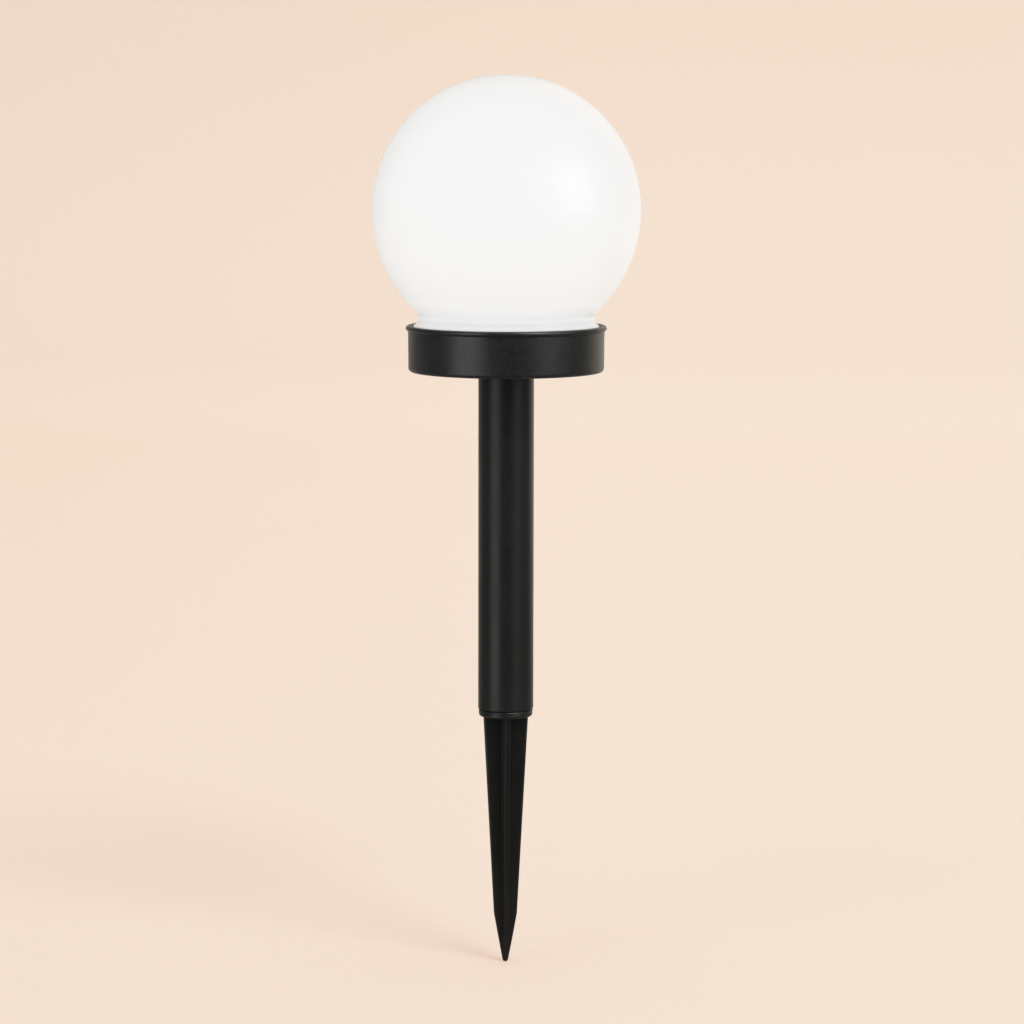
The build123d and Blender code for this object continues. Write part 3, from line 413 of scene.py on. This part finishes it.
sleeve_film = Finish("sleeve_film")
band_width, band_edge = 0.009, 0.0002
band_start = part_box("battery_sleeve")[1].x - band_width
past_band = sleeve_film.spread(sleeve_film.axis("X"), 0.0, 1.0, band_start, band_start + band_edge)
film_tone = sleeve_film.mixed(past_band, (0.02, 0.16, 0.09), (0.55, 0.55, 0.52))
film_cloud = sleeve_film.spread(sleeve_film.noise(0.006), 0.9, 1.06)
sleeve_film.surface(Base_Color=sleeve_film.mixed(1.0, film_tone, film_cloud, "MULTIPLY"), Coat_Weight=0.4)
sleeve_film.surface(Roughness=sleeve_film.spread(sleeve_film.noise(0.002), 0.2, 0.32))
sleeve_film.relief(sleeve_film.noise(0.0025, 2.0, (0.3, 1, 1)), 0.00003, 0.5)
dress(sleeve_film, "battery_sleeve")


# ---------------------------------------------------------------- the battery cover
# A flush black ABS cover from the cup's own mould finish, a thin foam gasket round the opening, and two
# countersunk screws.
dress(cup_black, "battery_cover")
dress(screw_zinc, "cover_screws")
gasket_foam = Finish("gasket_foam")
foam_pores = gasket_foam.crystals(0.0005)
gasket_foam.relief(foam_pores, 0.0001, 0.8)
gasket_foam.surface(Roughness=gasket_foam.spread(foam_pores, 0.75, 0.95))
gasket_foam.surface(Base_Color=gasket_foam.mixed(foam_pores, (0.012, 0.012, 0.013), (0.04, 0.04, 0.042)))
dress(gasket_foam, "cover_seal")


# ---------------------------------------------------------------- the deck
# A white ABS disc that closes the cup. Three countersunk screws come up through the cup's floor into
# its bosses, and its raised rim holds the panel.
deck_white = moulded_plastic("deck_white", (0.8, 0.795, 0.775), 0.4, 0.0004, 0.00004, 0.03)
dress(deck_white, "solar_deck")
dress(screw_zinc, "deck_screws")


# ---------------------------------------------------------------- the light source
# A clear 5 mm diode in a white dish, on a small white board staked under the deck. Inside the clear
# epoxy, a tinned cup on one leg holds the yellow phosphor.
dress(board_lacquer("board_white", (0.72, 0.72, 0.7), (0.6, 0.6, 0.57)), "led_board")
dish_white = moulded_plastic("dish_white", (0.84, 0.84, 0.82), 0.2, 0.0005, 0.00001, 0.02)
dress(dish_white, "led_reflector")
dress(plated_metal("leg_tin", (0.7, 0.7, 0.68), 0.24, 0.0003, (1, 1, 0.2)), "led_legs")

epoxy = Finish("led_epoxy")
epoxy_waves = epoxy.noise(0.006, 2.0)
epoxy.relief(epoxy_waves, 0.00001, 0.4)
epoxy.surface(IOR=1.5, Transmission_Weight=1.0, Roughness=epoxy.spread(epoxy_waves, 0.02, 0.07))
epoxy.surface(Base_Color=epoxy.mixed(epoxy_waves, (0.95, 0.96, 0.95), (0.969, 0.979, 0.969)))
dress(epoxy, "led_bulb")
diode_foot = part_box("led_bulb")[0].z
die_x, leg_x = -0.00045, 0.00127
frame_outline = [
    (0.0, 0.0008), (0.0003, 0.0008), (0.0003, 0.003), (0.0009, 0.0036), (0.00115, 0.0045),
    (0.001, 0.0045), (0.0006, 0.0039), (0.0, 0.0038),
]
die_cup = turned_mesh("die_cup", frame_outline, [(die_x, 0, diode_foot)])
add_piece("die_cup", die_cup, solder)
phosphor_yellow = moulded_plastic("phosphor_yellow", (0.8, 0.62, 0.08), 0.5, 0.0001, 0.00001, 0.1)
drop_outline = [(0.0, 0.00385), (0.00055, 0.0039), (0.0008, 0.0042), (0.0006, 0.0045), (0.0, 0.0046)]
phosphor_drop = turned_mesh("phosphor_drop", drop_outline, [(die_x, 0, diode_foot)])
add_piece("phosphor_drop", phosphor_drop, phosphor_yellow)
post_outline = [(0.0, 0.0008), (0.0003, 0.0008), (0.0003, 0.0044), (0.0, 0.0045)]
bond_post = turned_mesh("bond_post", post_outline, [(leg_x, 0, diode_foot)])
add_piece("bond_post", bond_post, solder)
under_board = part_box("led_board")[0].z
leg_cones = turned_mesh(
    "leg_solder", [(radius, -height) for radius, height in solder_cone[:4]],
    [(-leg_x, 0, under_board), (leg_x, 0, under_board)],
)
add_piece("leg_solder", leg_cones, solder)


# ---------------------------------------------------------------- the solar panel
# Four quarter-round polycrystalline cells on a glass-fibre board, joined by flat tinned ribbons, with
# clear resin poured over them. Fine silver fingers run across each cell between its ribbons.
board_fibre = moulded_plastic("board_fibre", (0.42, 0.44, 0.3), 0.5, 0.0005, 0.00004, 0.08)
dress(board_fibre, "solar_backing_board")

crystal_size, finger_pitch, finger_half, finger_edge = 0.0042, 0.0012, 0.00009, 0.00013
silicon = Finish("silicon")
grains = silicon.crystals(crystal_size, "Color")
grain_tone = silicon.add("SeparateXYZ", Vector=grains).outputs["X"]
cell_blue = silicon.mixed(grain_tone, (0.008, 0.022, 0.085), (0.022, 0.06, 0.2))
across = silicon.combined(silicon.axis("X"), finger_pitch, "PINGPONG")
finger = silicon.spread(across, 1.0, 0.0, finger_half, finger_edge)
silicon.surface(Base_Color=silicon.mixed(finger, cell_blue, (0.6, 0.61, 0.63)), Metallic=finger)
silicon.surface(Roughness=silicon.spread(grain_tone, 0.2, 0.34, 0.0, 1.0), Coat_Weight=0.3)
silicon.relief(finger, 0.00002, 0.5)
dress(silicon, "solar_cells")
dress(plated_metal("ribbon_tin", (0.74, 0.74, 0.73), 0.3, 0.0006, (0.15, 1, 1)), "cell_ribbons")

# The resin is thin, so it is clear without bending the light, and its gloss grows edge-on. Its underside
# is drawn a hair above the ribbons, because faces that share one place would hide each other.
resin = Finish("panel_resin")
resin_waves = resin.noise(0.006, 2.0)
resin.relief(resin_waves, 0.00003, 0.4)
face_on_gloss = 0.05
edge_on = resin.add("LayerWeight", Blend=0.5).outputs["Facing"]
resin.surface(Alpha=resin.spread(resin.combined(edge_on, 5.0, "POWER"), face_on_gloss, 1.0, 0.0, 1.0))
resin.surface(Base_Color=resin.mixed(resin_waves, (0.94, 0.95, 0.93), (0.96, 0.97, 0.95)))
resin.surface(Metallic=1.0, Roughness=resin.spread(resin_waves, 0.05, 0.12))
pane_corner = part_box("solar_glazing")[1]
pane_rim, pane_top = pane_corner.x, pane_corner.z
pane_hole, meniscus, over_ribbons, pane_steps = 0.0072, 0.0004, 0.00003, 160
pane_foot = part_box("cell_ribbons")[1].z + over_ribbons
pane_outline = [
    (pane_hole, pane_foot), (pane_rim, pane_foot), (pane_rim, pane_top - meniscus),
    (pane_rim - 0.3 * meniscus, pane_top - 0.3 * meniscus), (pane_rim - meniscus, pane_top),
    (pane_hole, pane_top), (pane_hole, pane_foot),
]
pane_mesh = turned_mesh("resin_pane", pane_outline, [(0, 0, 0)], pane_steps)
resin_pane = add_piece("resin_pane", pane_mesh, resin)
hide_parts("solar_glazing")


# ---------------------------------------------------------------- the neck seal
# A ring of soft black rubber round the panel's rim. Its two small lips grip the globe's skirt from
# inside, and a bloom of mould powder greys it.
seal_rubber = moulded_plastic("seal_rubber", (0.018, 0.018, 0.018), 0.62, 0.0003, 0.00004, 0.3)
dress(seal_rubber, "neck_seal")


# ---------------------------------------------------------------- the globe
# A blow-moulded shell of opal polyethylene. It is evenly white with a soft gloss, its skin waves very
# slightly, and a fine parting line runs over its two sides where the mould's halves met.
opal = Finish("opal_globe")
opal_cloud = opal.noise(0.03, 6.0)
opal.surface(Base_Color=opal.mixed(opal_cloud, (0.948, 0.947, 0.945), (0.958, 0.957, 0.956)))
opal.surface(Roughness=opal.spread(opal.noise(0.012, 3.0), 0.285, 0.315), IOR=1.35)
opal.surface(Subsurface_Weight=0.03, Subsurface_Scale=0.004, Subsurface_Radius=(1.0, 0.97, 0.94))
opal.surface(Sheen_Weight=0.13, Sheen_Roughness=0.3)
parting_half, parting_edge = 0.0001, 0.0004
off_parting = opal.combined(opal.axis("Y"), 0.0, "ABSOLUTE")
parting = opal.spread(off_parting, 1.0, 0.0, parting_half, parting_edge)
fine_skin = opal.combined(opal.noise(0.0006), 0.12, "MULTIPLY")
skin = opal.combined(opal.noise(0.009, 2.0), fine_skin)
opal.relief(opal.combined(skin, parting), 0.00002, 0.2)
# Painted light: an emission glow brightens the globe's shaded neck, most of all in the crease, standing in
# for light that shows through the shell there.
skirt_top, crease_low, crease_high, belly_start = 0.1778, 0.1818, 0.183, 0.191
painted_skirt_glow, painted_crease_glow = 0.02, 0.11
neck_height = opal.axis("Z")
from_skirt = opal.spread(neck_height, painted_skirt_glow, painted_crease_glow, skirt_top, crease_low)
to_belly = opal.spread(neck_height, 1.0, 0.0, crease_high, belly_start)
painted_neck_glow = opal.combined(from_skirt, to_belly, "MULTIPLY")
opal.surface(Emission_Color=(1.0, 1.0, 0.995), Emission_Strength=painted_neck_glow)
dress(opal, "globe_diffuser")


# ---------------------------------------------------------------- the stage
# Pale peach paper lies under the lamp and sweeps up into a wall behind it. More of the same paper
# carries on beyond its front and sides, which neither throws light on the lamp nor shows in its gloss.
floor_glow, bend_glow, wall_glow = (1.317, 0.606, 0.37), (1.239, 0.471, 0.239), (1.178, 0.379, 0.118)
# Painted shade: this tint makes the paper's own glow darker towards the left.
painted_left_shade = (0.93, 0.78, 0.58)
lit_tone = (0.48, 0.67, 0.65)
bounced_tone = (0.78, 0.71, 0.64)
gloss_tone = (0.56, 0.5, 0.44)
floor_level, bend_level, high_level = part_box("ground_spike")[0].z, -0.05, 0.4
own_light = 0.4


def paper_sheet(name, path, left, right):
    """A sheet bent along a path of Y and Z, from left to right."""
    sheet = bmesh.new()
    rows = [[sheet.verts.new((x, y, z)) for x in (left, right)] for y, z in path]
    for near, far in zip(rows, rows[1:]):
        sheet.faces.new((near[0], near[1], far[1], far[0]))
    mesh = bpy.data.meshes.new(name)
    sheet.to_mesh(mesh)
    sheet.free()
    for face in mesh.polygons:
        face.use_smooth = True
    paper = bpy.data.objects.new(name, mesh)
    bpy.context.scene.collection.objects.link(paper)
    return paper


def peach_paper():
    """Seamless paper: part of what shows is its own glow, with painted shade towards the left, and the rest
    takes light and shadow.
    """
    finish = Finish("peach_paper")
    height = finish.axis("Z")
    past_floor = finish.spread(height, 0.0, 1.0, floor_level, bend_level)
    up_wall = finish.spread(height, 0.0, 1.0, bend_level, high_level)
    tone = finish.mixed(up_wall, finish.mixed(past_floor, floor_glow, bend_glow), wall_glow)
    # Painted shade: the glow darkens towards the left.
    to_right = finish.spread(finish.axis("X"), 0.0, 1.0, -0.7, 0.1)
    tone = finish.mixed(1.0, tone, finish.mixed(to_right, painted_left_shade, (1.0, 1.0, 1.0)), "MULTIPLY")
    fibres = finish.spread(finish.noise(0.006, 3.0), 0.99, 1.01)
    tone = finish.mixed(1.0, tone, fibres, "MULTIPLY")
    seen = finish.add("LightPath")
    through = seen.outputs["Is Transmission Ray"]
    in_gloss = finish.combined(seen.outputs["Is Glossy Ray"], through, "SUBTRACT")
    shown = finish.combined(seen.outputs["Is Camera Ray"], through, "MAXIMUM")
    finish.surface(Base_Color=finish.mixed(shown, bounced_tone, lit_tone), Roughness=0.9)
    glowing = finish.combined(finish.combined(shown, own_light, "MULTIPLY"), in_gloss, "MAXIMUM")
    nearby = finish.spread(finish.axis("Y"), 0.45, 1.0, -0.05, 0.9)
    sideways = finish.spread(finish.axis("X"), 1.0, 1.7, 0.0, 0.8)
    mirrored = finish.mixed(1.0, gloss_tone, finish.combined(nearby, sideways, "MULTIPLY"), "MULTIPLY")
    glow = finish.add("Emission", Color=finish.mixed(in_gloss, tone, mirrored)).outputs["Emission"]
    blend = finish.add("MixShader", Fac=glowing)
    finish.feed(blend.inputs[1], finish.shader.outputs["BSDF"])
    finish.feed(blend.inputs[2], glow)
    finish.feed(finish.tree.nodes["Material Output"].inputs["Surface"], blend.outputs["Shader"])
    return finish


floor_end, floor_front, table_back, floor_back = -6.0, -0.16, 0.6, 2.4
table_side, left_edge, right_edge, far_side = 0.45, -2.1, 4.3, 7.0
bend, bend_steps, wall_top = 1.2, 24, 5.0
bend_path = [
    (floor_back + bend * math.sin(turn), floor_level + bend * (1 - math.cos(turn)))
    for turn in (math.pi / 2 * k / bend_steps for k in range(bend_steps + 1))
]
front_path = [(floor_end, floor_level), (floor_front, floor_level)]
table_path = [(floor_front, floor_level), (table_back, floor_level)]
wall_path = [(table_back, floor_level), *bend_path, (floor_back + bend, floor_level + wall_top)]
table = paper_sheet("table_paper", table_path, -table_side, table_side)
wall = paper_sheet("wall_paper", wall_path, left_edge, right_edge)
beyond = [
    paper_sheet("floor_front", front_path, -far_side, far_side),
    paper_sheet("floor_left", table_path, -far_side, -table_side),
    paper_sheet("floor_right", table_path, table_side, far_side),
    paper_sheet("wall_left", wall_path, -far_side, left_edge),
    paper_sheet("wall_right", wall_path, right_edge, far_side),
]
stage_paper = peach_paper()
for paper in (table, wall, *beyond):
    paper.data.materials.append(stage_paper.material)
for paper in beyond:
    paper.visible_diffuse = False
    paper.visible_glossy = False
    paper.visible_shadow = False


# ---------------------------------------------------------------- the studio light
# An even white room lights the lamp and looks dim in its gloss. Two tall softboxes, one each side, a
# smaller one high at the right and a small bright one above the rim show in the gloss alone. Two far
# lamps light only the paper and the black pieces, and throw the soft shadows.
def softbox(name, azimuth, height, distance, width, tall, radiance, aim, lit=None):
    """A softbox round the lamp, seen in gloss only; azimuth 0 is in front, and positive is to the right."""
    turn = math.radians(azimuth)
    spot = Vector((distance * math.sin(turn), -distance * math.cos(turn), height))
    light = bpy.data.lights.new(name, "AREA")
    light.shape = "RECTANGLE"
    light.size, light.size_y = width, tall
    light.energy = radiance * math.pi * width * tall
    holder = bpy.data.objects.new(name, light)
    holder.location = spot
    holder.rotation_euler = (aim - spot).to_track_quat("-Z", "Y").to_euler()
    holder.visible_camera = False
    holder.visible_diffuse = False
    bpy.context.scene.collection.objects.link(holder)
    if lit:
        holder.light_linking.receiver_collection = lit


black_pieces = bpy.data.collections.new("black_pieces")
for node in ("ground_spike", "pole_tube", "lamp_cup", "battery_cover", "switch_knob"):
    black_pieces.objects.link(frame["nodes"][node])
middle, globe_middle = Vector((0, 0, 0.1)), Vector((0, 0, 0.23))
softbox("left_softbox", -46, 0.25, 1.8, 1.2, 2.3, 1.55, middle, black_pieces)
softbox("right_softbox", 44, 0.25, 1.8, 1.0, 2.3, 0.43, middle, black_pieces)
softbox("high_softbox", 60, 0.75, 1.6, 1.0, 1.1, 2.1, globe_middle)
softbox("rim_softbox", 41, 1.6, 1.3, 0.45, 0.45, 14, middle, black_pieces)

floor_pieces = bpy.data.collections.new("floor_pieces")
for paper in (table, wall, *beyond, *black_pieces.objects):
    floor_pieces.objects.link(paper)


def far_lamp(name, azimuth, elevation, strength, width):
    """A lamp far from the stage; its width, in degrees, softens the shadow."""
    turn, rise = math.radians(azimuth), math.radians(elevation)
    level = math.cos(rise)
    towards = Vector((math.sin(turn) * level, -math.cos(turn) * level, math.sin(rise)))
    light = bpy.data.lights.new(name, "SUN")
    light.energy = strength
    light.angle = math.radians(width)
    holder = bpy.data.objects.new(name, light)
    holder.rotation_euler = towards.to_track_quat("Z", "Y").to_euler()
    bpy.context.scene.collection.objects.link(holder)
    holder.light_linking.receiver_collection = floor_pieces


far_lamp("right_lamp", 41, 46, 1.4, 26)
far_lamp("left_lamp", -44, 50, 0.24, 24)


world = bpy.data.worlds.new("studio_room")
bpy.context.scene.world = world
world.use_nodes = True
room = world.node_tree
room_white, stage_peach = (1.0, 1.0, 0.998), (0.918, 0.772, 0.652)
room_front, room_back, front_gloss, back_gloss = -0.9, 0.3, 0.09, 0.19


def room_math(operation, first, second):
    """Two numbers of the room's own nodes, joined by a Math node's operation."""
    node = room.nodes.new("ShaderNodeMath")
    node.operation = operation
    for socket, value in zip(node.inputs, (first, second)):
        if isinstance(value, bpy.types.NodeSocket):
            room.links.new(value, socket)
        else:
            socket.default_value = value
    return node.outputs["Value"]


direction = room.nodes.new("ShaderNodeSeparateXYZ")
room.links.new(room.nodes.new("ShaderNodeTexCoord").outputs["Generated"], direction.inputs["Vector"])
behind = room.nodes.new("ShaderNodeMapRange")
behind.interpolation_type = "SMOOTHSTEP"
room.links.new(direction.outputs["Y"], behind.inputs["Value"])
behind_range = {
    "From Min": room_front, "From Max": room_back, "To Min": front_gloss, "To Max": back_gloss,
}
for label, value in behind_range.items():
    behind.inputs[label].default_value = value
seen = room.nodes.new("ShaderNodeLightPath")
through = seen.outputs["Is Transmission Ray"]
gloss = room_math("SUBTRACT", seen.outputs["Is Glossy Ray"], through)
lighting = room_math("SUBTRACT", 1.0, gloss)
in_gloss = room_math("MULTIPLY", behind.outputs["Result"], gloss)
room.links.new(room_math("ADD", lighting, in_gloss), room.nodes["Background"].inputs["Strength"])
shown = room_math("MAXIMUM", seen.outputs["Is Camera Ray"], through)
tone = room.nodes.new("ShaderNodeMix")
tone.data_type = "RGBA"
room.links.new(shown, tone.inputs["Factor"])
tone.inputs[6].default_value = (*room_white, 1)
tone.inputs[7].default_value = (*stage_peach, 1)
room.links.new(tone.outputs[2], room.nodes["Background"].inputs["Color"])


# ---------------------------------------------------------------- the camera
# It stands about a metre and a half in front, a little above the cup, and looks down slightly.
sensor_width, lens, looks_down, rolls = 36.0, 120.2, 6.882, 0.104
camera_data = bpy.data.cameras.new("camera")
camera_data.sensor_width = sensor_width
camera_data.lens = lens
camera = bpy.data.objects.new("camera", camera_data)
camera.location = (0.0027, -1.529, 0.2774)
camera.rotation_euler = (math.radians(90 - looks_down), 0, 0)
camera.rotation_euler.rotate_axis("Z", math.radians(rolls))
bpy.context.scene.collection.objects.link(camera)
bpy.context.scene.camera = camera
bpy.context.scene.view_settings.view_transform = "Standard"
